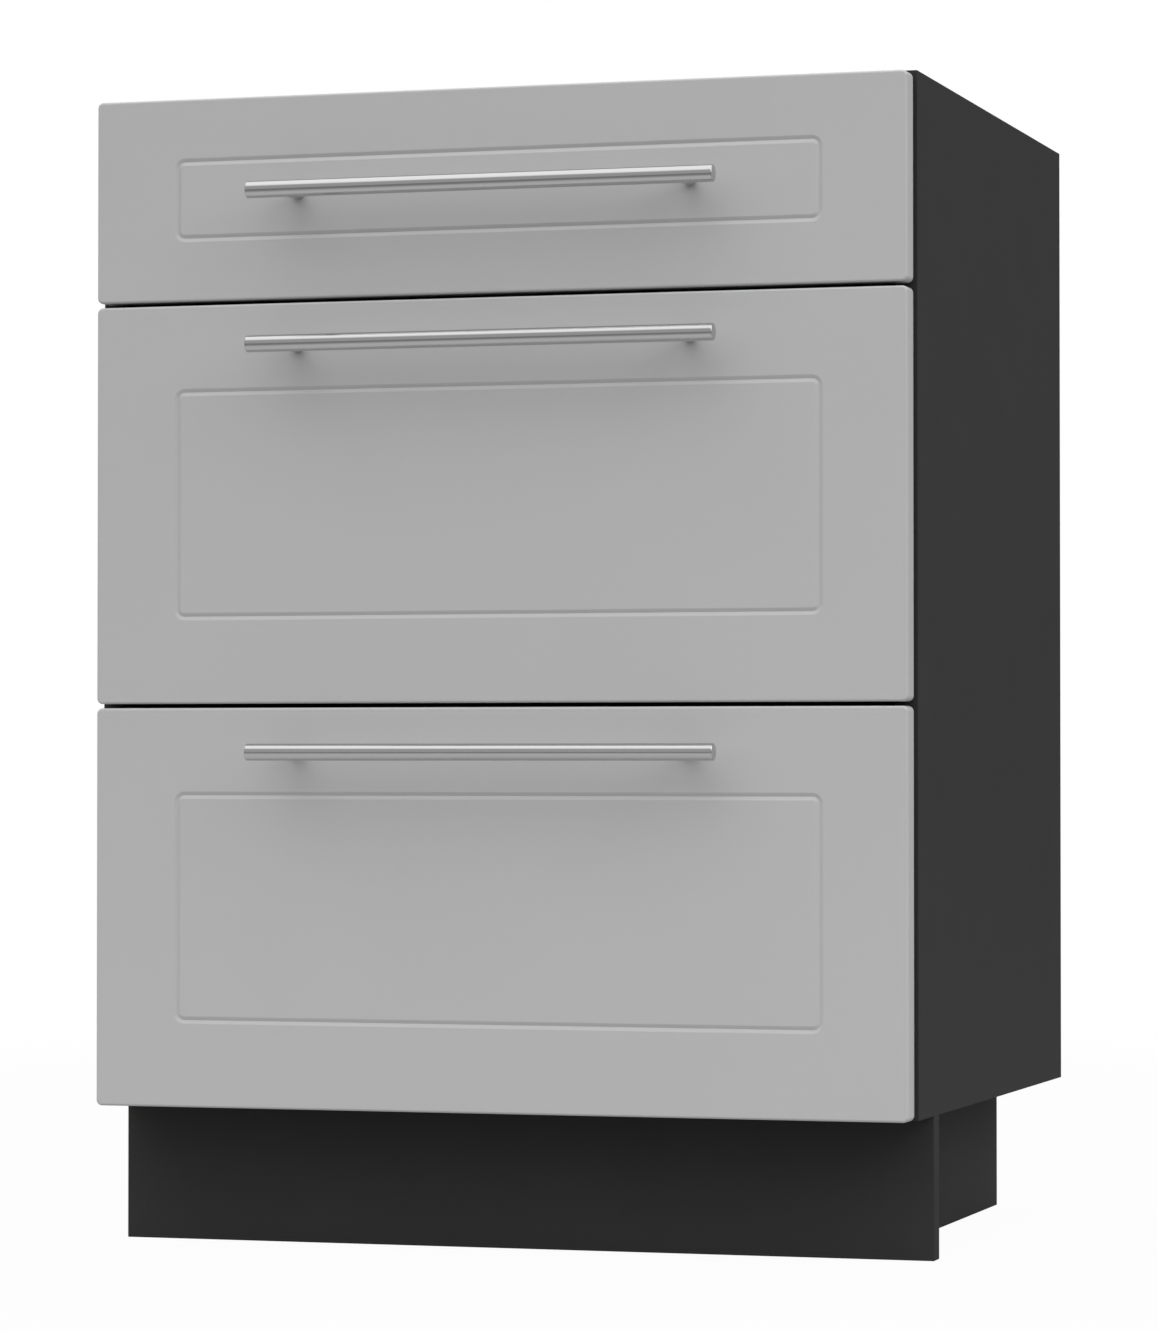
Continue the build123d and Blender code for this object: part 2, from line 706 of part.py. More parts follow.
# ================================= slides =====================================
def c_section(z, web_u, lip_u, half_height, steel):
    """Draw a left slide's C-shaped section: an upright web at web_u from the side panel,
    and two flanges that reach to lip_u."""
    middle_x = -wall_x + (web_u + lip_u) / 2
    width = abs(lip_u - web_u)
    inward = steel if lip_u > web_u else -steel
    with Locations((middle_x, z)):
        Rectangle(width, 2 * half_height)
    with Locations((middle_x + inward, z)):
        Rectangle(width, 2 * (half_height - steel), mode=Mode.SUBTRACT)


with BuildPart() as slide_cabinet_members:
    with BuildSketch(Plane.XZ.offset(-slide_y)):
        for drawer in drawers:
            c_section(drawer.slide_z, 0, outer_lip_u, outer_half, slide_steel)
    extrude(amount=-slide_length)
    fillet(slide_cabinet_members.edges().filter_by(Axis.Y).group_by(Axis.X)[0], slide_bend)
    with Locations(*[seat(-wall_x + slide_steel, y, z, left) for y, z in slide_screw_places]):
        CounterSinkHole(wood_screw_radius + fit, wood_screw_head + fit, slide_steel, counter_sink_angle=90)
    mirror(about=Plane.YZ)


def slide_middle_members(drawer):
    """The middle sheets of a pair of slides, with holes to reach the cabinet's screws."""
    with BuildPart() as members:
        with BuildSketch(Plane.XZ.offset(-slide_y)):
            c_section(drawer.slide_z, middle_u, middle_lip_u, middle_half, slide_steel)
        extrude(amount=-slide_length)
        fillet(members.edges().filter_by(Axis.Y).group_by(Axis.X)[0], slide_bend)
        inner_x = -wall_x + middle_u + slide_steel
        with Locations(*[seat(inner_x, y, drawer.slide_z, left) for y in slide_screw_ys]):
            Hole(access_hole_radius, slide_steel)
        mirror(about=Plane.YZ)
    return members


def slide_drawer_members(drawer):
    """The inner sheets of a pair of slides, screwed to the box."""
    with BuildPart() as members:
        with BuildSketch(Plane.XZ.offset(-slide_y)):
            c_section(drawer.slide_z, slide_thickness, drawer_lip_u, drawer_half, slide_steel)
        extrude(amount=-slide_length)
        fillet(members.edges().filter_by(Axis.Y).group_by(Axis.X)[-1], slide_bend)
        with Locations(*[seat(-box_x - slide_steel, y, drawer.slide_z, right) for y in slide_screw_ys]):
            Hole(slide_screw_radius + fit, slide_steel)
        mirror(about=Plane.YZ)
    return members


def ball_cages(drawer, web_u, lip_u, row, ball_u):
    """A pair of thin cages, each with two rows of balls above and below its web."""
    first_y = slide_middle_y - (ball_count - 1) * ball_pitch / 2
    ball_places = [(-wall_x + ball_u, first_y + step * ball_pitch, drawer.slide_z + side * row)
                   for step in range(ball_count) for side in (-1, 1)]
    with BuildPart() as cages:
        with BuildSketch(Plane.XZ.offset(cage_length / 2 - slide_middle_y)):
            c_section(drawer.slide_z, web_u, lip_u, row + cage_steel / 2, cage_steel)
        extrude(amount=-cage_length)
        with Locations(*ball_places):
            Cylinder(ball_radius + ball_play, 2 * ball_radius, mode=Mode.SUBTRACT)
            Sphere(ball_radius)
        mirror(about=Plane.YZ)
    return cages


def ball_cages_outer(drawer):
    """The cages between the cabinet members and the middle members."""
    return ball_cages(drawer, outer_cage_u, outer_cage_lip_u, outer_row, outer_ball_u)


def ball_cages_inner(drawer):
    """The cages between the middle members and the drawer members."""
    return ball_cages(drawer, inner_cage_u, middle_lip_u, inner_row, inner_ball_u)


# ============================== write the pieces ==============================
os.makedirs("parts", exist_ok=True)
save_carcass()
save(slide_cabinet_members, "slide_cabinet_members")
drawer_pieces = [
    front_panel, handle_bar, handle_posts, handle_screws,
    box_front, box_back, box_sides, box_base, box_dowels, drawer_screws,
    slide_drawer_members, slide_middle_members, ball_cages_outer, ball_cages_inner,
]
for drawer in drawers:
    for make_piece in drawer_pieces:
        save(make_piece(drawer), f"{make_piece.__name__}_{drawer.name}")
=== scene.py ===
"""The looks of a kitchen base cabinet with three drawers.

Anthracite carcass and recessed plinth, three light grey lacquered fronts with a milled
frame line, brushed steel bar handles, pale drawer boxes on zinc-plated ball slides.
Metres, in the part's own frame: +X right, +Y back, +Z up, origin on the floor.
"""
import json
import math

import bpy
import numpy as np
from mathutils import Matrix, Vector

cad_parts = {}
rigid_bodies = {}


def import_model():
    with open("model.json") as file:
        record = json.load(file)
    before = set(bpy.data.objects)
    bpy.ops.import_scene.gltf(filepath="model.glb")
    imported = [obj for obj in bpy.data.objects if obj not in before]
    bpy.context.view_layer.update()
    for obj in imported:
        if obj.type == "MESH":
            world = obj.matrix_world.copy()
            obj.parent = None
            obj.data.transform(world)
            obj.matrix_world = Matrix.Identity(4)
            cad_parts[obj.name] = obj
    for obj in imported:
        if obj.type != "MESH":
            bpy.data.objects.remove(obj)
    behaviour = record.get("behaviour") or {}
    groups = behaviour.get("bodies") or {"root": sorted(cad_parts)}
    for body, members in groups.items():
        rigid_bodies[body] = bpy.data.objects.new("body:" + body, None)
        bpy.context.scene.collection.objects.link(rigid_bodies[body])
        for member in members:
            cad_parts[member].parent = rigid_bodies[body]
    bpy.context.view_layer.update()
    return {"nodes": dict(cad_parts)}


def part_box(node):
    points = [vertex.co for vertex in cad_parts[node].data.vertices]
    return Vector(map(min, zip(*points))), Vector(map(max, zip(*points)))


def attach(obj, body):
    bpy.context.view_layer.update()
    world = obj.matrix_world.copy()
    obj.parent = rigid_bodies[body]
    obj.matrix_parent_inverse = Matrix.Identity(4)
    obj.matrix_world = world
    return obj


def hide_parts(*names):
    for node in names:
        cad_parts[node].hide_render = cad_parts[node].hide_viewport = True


for leftover in list(bpy.data.objects):
    bpy.data.objects.remove(leftover)
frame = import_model()

mm = 0.001
drawers = ("top", "middle", "bottom")

# ---- sizes that the frame's boxes don't give -----------------------------------------
board_arris = 0.5 * mm          # softened edges of the banded boards
sheet_arris = 0.2 * mm          # edges of the thin back panel and the drawer bases
back_groove_depth = 7.0 * mm
back_groove_play = 0.2 * mm
front_corner_radius = 4.0 * mm
front_edge_radius = 1.8 * mm
front_back_arris = 0.6 * mm
groove_width = 6.0 * mm
groove_depth = 1.1 * mm
groove_lip = 0.9 * mm           # how much of a wall its rounded lip takes
groove_cusp = 0.02 * mm         # half of the narrow bottom between its walls
groove_corner_radius = 5.0 * mm
groove_side_inset = 62.0 * mm
groove_deep_inset = 62.0 * mm
groove_shallow_inset = 45.0 * mm
bar_end_radius = 0.7 * mm
post_foot_radius = 0.3 * mm
post_in_bar = 2.0 * mm          # how far a post runs into its bar
cam_pocket_radius = 7.6 * mm
cam_reach = 24.0 * mm           # from a board's end to its cams
cam_inset = 60.0 * mm           # from the bottom panel's front and rear edges
cam_depth = 12.5 * mm
rail_cam_offset = 20.0 * mm
worktop_hole_radius = 2.5 * mm
worktop_hole_spacing = 400.0 * mm
handle_hole_radius = 7.0 * mm
post_spacing = 288.0 * mm
bumper_radius = 4.0 * mm
bumper_inset = 20.0 * mm        # from a front's upper and lower edges
bumper_rim = 0.9 * mm
bore_overrun = 1.0 * mm         # how far a bore goes on outside its board

# ---- how finely the round pieces are divided ------------------------------------------
bar_sides = 72
post_sides = 56
bore_sides = 40
bumper_sides = 32


# ============================ surfaces worked out with numpy ==============================
class Ring:
    """One closed loop of a surface: its points and its normals, both as (n, 3) arrays in
    the surface's own axes u, v, w. bent says of each stretch between neighbours whether
    it lies on an arc."""

    def __init__(self, points, normals, bent, tilt):
        self.points, self.normals, self.bent, self.tilt = points, normals, bent, tilt


def outline_ring(corners, radius, inset, height, tilt, steps=5):
    """A ring along a right-angled outline whose corners are arcs.

    corners go counter-clockwise. With inward normals n0 and n1 of the two edges at a
    corner c, and s = 1 at an outer and -1 at an inner corner, the arc's radius is
    q = radius - s * inset, its centre c + inset (n0 + n1) + s q (n0 + n1), and a point
    lies s q from the centre along the outward direction, which turns from -n0 to -n1.
    tilt is the normal's angle out of the outline's plane, towards +w."""
    c = np.asarray(corners, float)
    along = np.roll(c, -1, 0) - c
    along /= np.linalg.norm(along, axis=1, keepdims=True)
    before = np.roll(along, 1, 0)
    n0 = np.stack([-before[:, 1], before[:, 0]], 1)
    n1 = np.stack([-along[:, 1], along[:, 0]], 1)
    s = np.sign(before[:, 0] * along[:, 1] - before[:, 1] * along[:, 0])[:, None]
    q = np.maximum(radius - s * inset, 0)
    centre = c + (inset + s * q) * (n0 + n1)
    angle = np.linspace(0, math.pi / 2, steps + 1)[None, :, None]
    outward = -(n0[:, None] * np.cos(angle) + n1[:, None] * np.sin(angle))
    points = centre[:, None] + (s * q)[:, None] * outward
    flat = points.reshape(-1, 2)
    out = outward.reshape(-1, 2)
    rise = np.full((len(flat), 1), height)
    normals = np.hstack([out * math.cos(tilt), np.full((len(flat), 1), math.sin(tilt))])
    bent = np.tile(np.arange(steps + 1) < steps, len(c))
    return Ring(np.hstack([flat, rise]), normals, bent, tilt)


def round_ring(radius, height, tilt, count):
    """A circle of that radius about the w axis. Its normals lean by tilt towards +w."""
    turn = np.linspace(0, 2 * math.pi, count, endpoint=False)
    out = np.stack([np.cos(turn), np.sin(turn)], 1)
    points = np.hstack([out * radius, np.full((count, 1), height)])
    normals = np.hstack([out * math.cos(tilt), np.full((count, 1), math.sin(tilt))])
    return Ring(points, normals, np.ones(count, bool), tilt)


def lower_edge(make, low, radius, steps):
    """The rings of a rounded lower edge. At angle t, from -90 degrees up to 0, the ring is
    drawn in by radius (1 - cos t) and lies radius (1 + sin t) above the end."""
    turns = np.linspace(-math.pi / 2, 0, steps + 1)
    return [make(radius * (1 - math.cos(t)), low + radius * (1 + math.sin(t)), t)
            for t in turns]


def upper_edge(make, high, radius, steps):
    """The rings of a rounded upper edge. At angle t, from 0 up to 90 degrees, the ring is
    drawn in by radius (1 - cos t) and lies radius (1 - sin t) below the end."""
    turns = np.linspace(0, math.pi / 2, steps + 1)
    return [make(radius * (1 - math.cos(t)), high - radius * (1 - math.sin(t)), t)
            for t in turns]


def rim(make, low, high, radius, steps=3):
    """The rings of a body from its lower to its upper end, both ends rounded off."""
    return lower_edge(make, low, radius, steps) + upper_edge(make, high, radius, steps)


# Which way u, v and w point for a surface that is carried along one of the axes.
along_x = np.array([(0, 1, 0), (0, 0, 1), (1, 0, 0)], float)
along_z = np.array([(1, 0, 0), (0, 1, 0), (0, 0, 1)], float)
facing_front = np.array([(1, 0, 0), (0, 0, 1), (0, -1, 0)], float)


def skin(parts, axes):
    """The arrays of a closed surface over stacks of rings, each stack closed by a face at
    both ends. A quad between rings i and i+1 is smooth where the surface bends."""
    points, normals, faces, smooth = [], [], [], []
    base = 0
    for rings, origin in parts:
        n = len(rings[0].points)
        points += [ring.points @ axes + np.asarray(origin) for ring in rings]
        normals += [ring.normals @ axes for ring in rings]
        j = np.arange(n)
        after = (j + 1) % n
        for i, (lower, upper) in enumerate(zip(rings, rings[1:])):
            start = base + i * n
            quads = (start + j, start + after, start + n + after, start + n + j)
            faces += np.stack(quads, 1).tolist()
            smooth += (lower.bent | (abs(lower.tilt - upper.tilt) > 1e-6)).tolist()
        faces.append((base + j[::-1]).tolist())
        faces.append((base + (len(rings) - 1) * n + j).tolist())
        smooth += [False, False]
        base += n * len(rings)
    return np.vstack(points), np.vstack(normals), faces, smooth


def added(name, data):
    """A new object of that data, at the origin of the scene."""
    made = bpy.data.objects.new(name, data)
    bpy.context.scene.collection.objects.link(made)
    return made


def piece(name, parts, axes, finish, body, nodes, exact_normals=False):
    """Makes one finished piece of the surfaces, which stands for those CAD nodes."""
    points, normals, faces, smooth = skin(parts, axes)
    mesh = bpy.data.meshes.new(name)
    mesh.from_pydata(points.tolist(), [], faces)
    if exact_normals:
        smooth = np.ones(len(faces), bool)
    mesh.polygons.foreach_set("use_smooth", smooth)
    if exact_normals:
        mesh.normals_split_custom_set_from_vertices(normals.tolist())
    mesh.materials.append(finish)
    mesh.update()
    made = added(name, mesh)
    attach(made, body)
    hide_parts(*nodes)
    return made


def rectangle(low, high):
    """The corners of a rectangle, counter-clockwise, from its lowest and highest corner."""
    return [(low[0], low[1]), (high[0], low[1]), (high[0], high[1]), (low[0], high[1])]


def board_rings(low, high, arris):
    """A board's rings along Z, all its edges rounded by the arris."""
    corners = rectangle(low, high)

    def make(inset, height, tilt):
        return outline_ring(corners, arris, inset, height, tilt, steps=3)

    return rim(make, low[2], high[2], arris)


# ============================ materials ===================================================
class Value:
    """A socket that Python's operators work on: each adds a Math node behind it."""

    def __init__(self, nodes, socket):
        self.nodes, self.socket = nodes, socket

    def _math(self, operation, a, b):
        return self.nodes.out("ShaderNodeMath", {"operation": operation}, {0: a, 1: b})

    def __add__(self, other):
        return self._math("ADD", self, other)

    def __sub__(self, other):
        return self._math("SUBTRACT", self, other)

    def __mul__(self, other):
        return self._math("MULTIPLY", self, other)

    def __rsub__(self, other):
        return self._math("SUBTRACT", other, self)

    __radd__ = __add__
    __rmul__ = __mul__

    def clear(self):
        """Held between 0 and 1."""
        return self.nodes.out("ShaderNodeClamp", {}, {"Value": self})

    def step(self, low, high):
        """0 below low and 1 above high, smoothly in between."""
        settings = {"interpolation_type": "SMOOTHSTEP"}
        return self.nodes.out("ShaderNodeMapRange", settings,
                              {"Value": self, "From Min": low, "From Max": high})


class Nodes:
    """A node tree and what its nodes are made with."""

    def __init__(self, tree):
        self.tree = tree

    def node(self, kind, settings, inputs):
        """Adds a node: its settings first, then the values or links of its sockets."""
        made = self.tree.nodes.new(kind)
        for key, setting in settings.items():
            setattr(made, key, setting)
        for key, given in inputs.items():
            if isinstance(given, Value):
                self.tree.links.new(given.socket, made.inputs[key])
            else:
                made.inputs[key].default_value = given
        return made

    def out(self, kind, settings, inputs, output=0):
        """Adds a node and gives one of its outputs."""
        return Value(self, self.node(kind, settings, inputs).outputs[output])

    def ray_kinds(self):
        """1 for a ray of the camera, for one off a glossy face and for one through glass."""
        rays = self.node("ShaderNodeLightPath", {}, {})
        kinds = ("Camera", "Glossy", "Transmission")
        return [Value(self, rays.outputs[f"Is {kind} Ray"]) for kind in kinds]


class Paint(Nodes):
    """A new material, whose patterns lie on object coordinates."""

    def __init__(self, name):
        self.material = bpy.data.materials.new(name)
        self.material.use_nodes = True
        super().__init__(self.material.node_tree)
        self.shader = next(n for n in self.tree.nodes if n.type == "BSDF_PRINCIPLED")
        self.place = self.out("ShaderNodeTexCoord", {}, {}, "Object")

    def axis(self, which):
        """One object coordinate, in metres."""
        return self.out("ShaderNodeSeparateXYZ", {}, {"Vector": self.place}, which)

    def stretched(self, *grain):
        """Object coordinates in units of a grain's lengths along X, Y and Z."""
        scale = tuple(1 / length for length in grain)
        return self.out("ShaderNodeMapping", {}, {"Vector": self.place, "Scale": scale})

    def noise(self, size, detail=2.0, roughness=0.5, place=None):
        """Noise whose grains are about that size, in metres, or in units of a place."""
        inputs = {"Vector": place or self.place, "Scale": 1 / size, "Detail": detail,
                  "Roughness": roughness}
        return self.out("ShaderNodeTexNoise", {}, inputs)

    def mix(self, share, a, b):
        """Colour a where share is 0 and colour b where it is 1."""
        inputs = {0: share, 6: a if isinstance(a, Value) else (*a, 1),
                  7: b if isinstance(b, Value) else (*b, 1)}
        return self.out("ShaderNodeMix", {"data_type": "RGBA"}, inputs, 2)

    def bump(self, height, depth, strength=1.0):
        """Normals from a height of 0 to 1 that stands for that depth, in metres."""
        inputs = {"Height": height, "Distance": depth, "Strength": strength}
        return self.out("ShaderNodeBump", {}, inputs)

    def finish(self, **sockets):
        """Sets the shader's sockets, by name with underscores, and gives the material."""
        for key, given in sockets.items():
            socket = self.shader.inputs[key.replace("_", " ")]
            if isinstance(given, Value):
                self.tree.links.new(given.socket, socket)
            else:
                socket.default_value = given
        return self.material


def grey(level, tint=(1.0, 1.0, 1.0)):
    """The linear colour of a grey written as 0 to 255, with a tint."""
    share = level / 255
    linear = ((share + 0.055) / 1.055) ** 2.4 if share > 0.04045 else share / 12.92
    return tuple(linear * t for t in tint)


def front_lacquer():
    """Light grey lacquer, matt, with the faint ripple of a sprayed coat."""
    paint = Paint("front_lacquer")
    cloud = paint.noise(90 * mm, detail=3)
    ripple = paint.noise(1.6 * mm, detail=1)
    grain = paint.noise(0.35 * mm, detail=1)
    colour = paint.mix(cloud, grey(front_grey - 1), grey(front_grey + 1))
    return paint.finish(Base_Color=colour, Roughness=0.50 + 0.06 * (cloud - 0.5),
                        Normal=paint.bump(ripple * 0.6 + grain * 0.4, 0.02 * mm, 0.5))


def melamine(name, level, tint=(1.0, 1.0, 1.0), grain_size=0.5 * mm, sheen=0.05):
    """Melamine facing: one colour with a fine pearl texture and barely seen clouds."""
    paint = Paint(name)
    pearl = paint.noise(grain_size, detail=2)
    cloud = paint.noise(60 * mm, detail=4)
    colour = paint.mix(cloud, grey(level * 0.97, tint), grey(level * 1.03, tint))
    return paint.finish(Base_Color=colour, Roughness=0.62 + 0.10 * (pearl - 0.5),
                        Specular_IOR_Level=sheen, Normal=paint.bump(pearl, 0.05 * mm, 0.5))


def chipboard_core():
    """The sawn core of a board: packed wood chips of several browns."""
    paint = Paint("chipboard_core")
    chips = paint.node("ShaderNodeTexVoronoi", {}, {"Vector": paint.place, "Scale": 1 / (1.4 * mm)})
    chip = Value(paint, chips.outputs["Color"])
    tone = paint.out("ShaderNodeSeparateColor", {}, {"Color": chip})
    dust = paint.noise(0.5 * mm, detail=3)
    colour = paint.mix(tone, (0.16, 0.10, 0.055), (0.40, 0.28, 0.17))
    colour = paint.mix(dust * 0.5, colour, (0.24, 0.16, 0.09))
    height = tone * 0.6 + dust * 0.4
    return paint.finish(Base_Color=colour, Roughness=0.85, Normal=paint.bump(height, 0.25 * mm))


def hardboard():
    """Thin fibreboard: grey lacquer inside the cabinet, bare brown fibres outside."""
    paint = Paint("hardboard")
    middle = (back_low[1] + back_high[1]) / 2
    outside = paint.axis(1).step(middle - 0.4 * mm, middle + 0.4 * mm)
    fibres = paint.noise(0.6, detail=4, place=paint.stretched(2 * mm, 2 * mm, 7 * mm))
    cloud = paint.noise(45 * mm, detail=5)
    brown = paint.mix(fibres * 0.7 + cloud * 0.3, (0.17, 0.105, 0.06), (0.33, 0.22, 0.135))
    colour = paint.mix(outside, grey(188), brown)
    return paint.finish(Base_Color=colour, Roughness=0.5 + 0.25 * outside,
                        Normal=paint.bump(fibres, 0.06 * mm, 0.5))


def base_board():
    """The coated hardboard of the drawers' bases."""
    paint = Paint("coated_base")
    linen = paint.noise(0.7 * mm, detail=2)
    colour = paint.mix(paint.noise(50 * mm, detail=4), grey(196), grey(202))
    return paint.finish(Base_Color=colour, Roughness=0.5 + 0.1 * linen,
                        Normal=paint.bump(linen, 0.04 * mm, 0.5))


def brushed_steel():
    """Stainless steel, brushed along its length: long fine scratches in tone and height."""
    paint = Paint("brushed_steel")
    scratches = paint.noise(1.0, detail=4, roughness=0.65,
                            place=paint.stretched(14 * mm, 0.16 * mm, 0.16 * mm))
    colour = paint.mix(scratches, grey(188), grey(200))
    return paint.finish(Base_Color=colour, Metallic=1.0, Roughness=0.12 + 0.08 * scratches,
                        Normal=paint.bump(scratches, 0.012 * mm, 0.5))


def zinc_sheet(name, level, tint, roll, rough):
    """Zinc-plated sheet: rolling lines along Y, whose share is roll, and soft spangles."""
    paint = Paint(name)
    lines = paint.noise(1.0, detail=3, place=paint.stretched(0.3 * mm, 30 * mm, 0.3 * mm))
    spangle = paint.noise(9 * mm, detail=3)
    tone = lines * roll + spangle * (1 - roll)
    colour = paint.mix(tone, grey(level - 14, tint), grey(level + 10, tint))
    return paint.finish(Base_Color=colour, Metallic=1.0, Roughness=rough + 0.12 * tone,
                        Normal=paint.bump(tone, 0.01 * mm, 0.4))


def beech():
    """Beech, with its grain lines along the dowels."""
    paint = Paint("beech")
    grain = paint.noise(1.0, detail=3, place=paint.stretched(9 * mm, 0.5 * mm, 0.5 * mm))
    colour = paint.mix(grain, (0.50, 0.33, 0.19), (0.68, 0.50, 0.33))
    return paint.finish(Base_Color=colour, Roughness=0.6, Normal=paint.bump(grain, 0.05 * mm))


def bumper_plastic():
    """Soft, slightly milky bumper plastic."""
    paint = Paint("soft_plastic")
    skin_grain = paint.noise(0.4 * mm)
    colour = paint.mix(skin_grain, grey(176), grey(186))
    return paint.finish(Base_Color=colour, Roughness=0.35 + 0.1 * skin_grain,
                        Normal=paint.bump(skin_grain, 0.01 * mm, 0.4))


# ---- tones, as 0 to 255 ---------------------------------------------------------------
front_grey = 175
carcass_grey = 49
plinth_grey = 53
box_grey = 205

back_low, back_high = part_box("back_panel")
lacquer = front_lacquer()
anthracite = melamine("anthracite_melamine", carcass_grey)
plinth_dark = melamine("plinth_melamine", plinth_grey, sheen=0.02)
pale_board = melamine("drawer_melamine", box_grey, tint=(1.0, 1.0, 0.985), grain_size=0.7 * mm)
core = chipboard_core()
back_hardboard = hardboard()
drawer_base = base_board()
steel = brushed_steel()
slide_zinc = zinc_sheet("slide_zinc", 196, (0.97, 0.99, 1.02), roll=0.7, rough=0.26)
cage_zinc = zinc_sheet("cage_zinc", 184, (0.98, 0.99, 1.0), roll=0.5, rough=0.22)
screw_zinc = zinc_sheet("screw_zinc", 190, (0.99, 1.0, 1.01), roll=0.2, rough=0.30)
cam_zinc = zinc_sheet("cam_zinc", 168, (1.0, 0.99, 0.97), roll=0.1, rough=0.40)
bracket_zinc = zinc_sheet("bracket_zinc", 192, (0.98, 0.99, 1.0), roll=0.4, rough=0.32)
beech_wood = beech()
bumper_soft = bumper_plastic()


# ============================ carcass and plinth ==========================================
back, front, up, down = (0, 1, 0), (0, -1, 0), (0, 0, 1), (0, 0, -1)


def bared(made, *directions):
    """Shows the chipboard core on a board's faces that look one of these ways."""
    mesh = made.data
    mesh.materials.append(core)
    normals = np.empty(3 * len(mesh.polygons))
    mesh.polygons.foreach_get("normal", normals)
    looks = normals.reshape(-1, 3) @ np.array(directions, float).T
    index = np.zeros(len(mesh.polygons), np.int32)
    mesh.polygons.foreach_get("material_index", index)
    index[looks.max(1) > 0.99] = len(mesh.materials) - 1
    mesh.polygons.foreach_set("material_index", index)


def drilled(made, bores, axes):
    """Drills round holes, each (u, v, from w, to w, radius), into a finished board."""
    cutters = [([round_ring(radius, w, 0, bore_sides) for w in (low, high)],
                np.array([u, v, 0.0]) @ axes) for u, v, low, high, radius in bores]
    points, _, faces, smooth = skin(cutters, axes)
    mesh = bpy.data.meshes.new("bores")
    mesh.from_pydata(points.tolist(), [], faces)
    mesh.polygons.foreach_set("use_smooth", smooth)
    mesh.materials.append(core)
    cutter = added("bores", mesh)
    cut = made.modifiers.new("bores", "BOOLEAN")
    cut.operation = "DIFFERENCE"
    cut.solver = "EXACT"
    cut.material_mode = "TRANSFER"
    cut.object = cutter
    bpy.context.view_layer.update()
    finished = made.evaluated_get(bpy.context.evaluated_depsgraph_get())
    drilled_mesh = bpy.data.meshes.new_from_object(finished)
    made.modifiers.clear()
    made.data = drilled_mesh
    bpy.data.objects.remove(cutter)


def board(name, finish, body, node, arris=board_arris):
    """A plain board that fills its CAD node's box."""
    low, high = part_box(node)
    parts = [(board_rings(low, high, arris), (0, 0, 0))]
    return piece(name, parts, along_z, finish, body, [node])


def side_panel(side):
    """A side panel, its inner face grooved over the whole height for the back panel."""
    node = f"side_panel_{side}"
    low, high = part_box(node)
    near, far = back_low[1] - back_groove_play, back_high[1] + back_groove_play
    corners = rectangle(low, high)
    if side == "left":
        inner, deep = high[0], high[0] - back_groove_depth
        corners[2:2] = [(inner, near), (deep, near), (deep, far), (inner, far)]
    else:
        inner, deep = low[0], low[0] + back_groove_depth
        corners += [(inner, far), (deep, far), (deep, near), (inner, near)]

    def make(inset, height, tilt):
        return outline_ring(corners, board_arris, inset, height, tilt, steps=3)

    rings = rim(make, low[2], high[2], board_arris)
    made = piece(f"{side}_side", [(rings, (0, 0, 0))], along_z, anthracite,
                 "carcass", [node])
    bared(made, back, up, down)


def cam_bores(node, cam_ys):
    """The cams' pockets in a board's underside, at both of its ends."""
    low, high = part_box(node)
    return [(x, y, low[2] - bore_overrun, low[2] + cam_depth, cam_pocket_radius)
            for x in (low[0] + cam_reach, high[0] - cam_reach) for y in cam_ys]


def carcass():
    """The boards of the carcass and the plinth."""
    side_panel("left")
    side_panel("right")

    made = board("bottom", anthracite, "carcass", "bottom_panel")
    low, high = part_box("bottom_panel")
    bared(made, back)
    cam_ys = (low[1] + cam_inset, high[1] - cam_inset)
    drilled(made, cam_bores("bottom_panel", cam_ys), along_z)

    for place in ("front", "rear"):
        node = f"top_rail_{place}"
        low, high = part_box(node)
        middle = (low[1] + high[1]) / 2
        made = board(f"{place}_rail", anthracite, "carcass", node)
        bared(made, back if place == "front" else front)
        holes = [(x, middle, low[2] - bore_overrun, high[2] + bore_overrun, worktop_hole_radius)
                 for x in (-worktop_hole_spacing / 2, worktop_hole_spacing / 2)]
        drilled(made, cam_bores(node, [middle - rail_cam_offset]) + holes, along_z)

    board("back", back_hardboard, "carcass", "back_panel", sheet_arris)
    for node in ("plinth_front", "plinth_side_left", "plinth_side_right", "plinth_back"):
        name = node.replace("plinth", "plinth_board")
        made = board(name, plinth_dark, "carcass", node)
        bared(made, down)


# ============================ fronts and handles ==========================================
def groove_rings(corners):
    """The milled groove, from its outer lip over its bottom to its inner lip.

    Each wall is an arc that leaves the face level at the lip, and then a flat slope. With
    half width h, depth d and lip width e, an arc of radius e / sin a goes e sideways and
    e tan(a/2) down, so the slope's angle a solves e tan(a/2) + (h - e) tan a = d. A few
    rounds of working out a from the tan(a/2) of the last round find it."""
    half = groove_width / 2
    slope = math.atan(groove_depth / (half - groove_lip / 2))
    for _ in range(8):
        slope = math.atan((groove_depth - groove_lip * math.tan(slope / 2)) / (half - groove_lip))
    radius = groove_lip / math.sin(slope)
    turns = np.linspace(0, slope, 6)
    across = np.append(radius * np.sin(turns), half - groove_cusp)
    depths = np.append(radius * (1 - np.cos(turns)), groove_depth - groove_cusp * math.tan(slope))
    lean = np.append(turns, slope)

    def make(inset, depth, tilt):
        return outline_ring(corners, groove_corner_radius, inset, -depth, tilt)

    outer = [make(x - half, z, math.pi / 2 + a) for x, z, a in zip(across, depths, lean)]
    inner = [make(half - x, z, math.pi / 2 - a) for x, z, a in zip(across, depths, lean)]
    return outer + [make(0, groove_depth, math.pi / 2)] + inner[::-1]


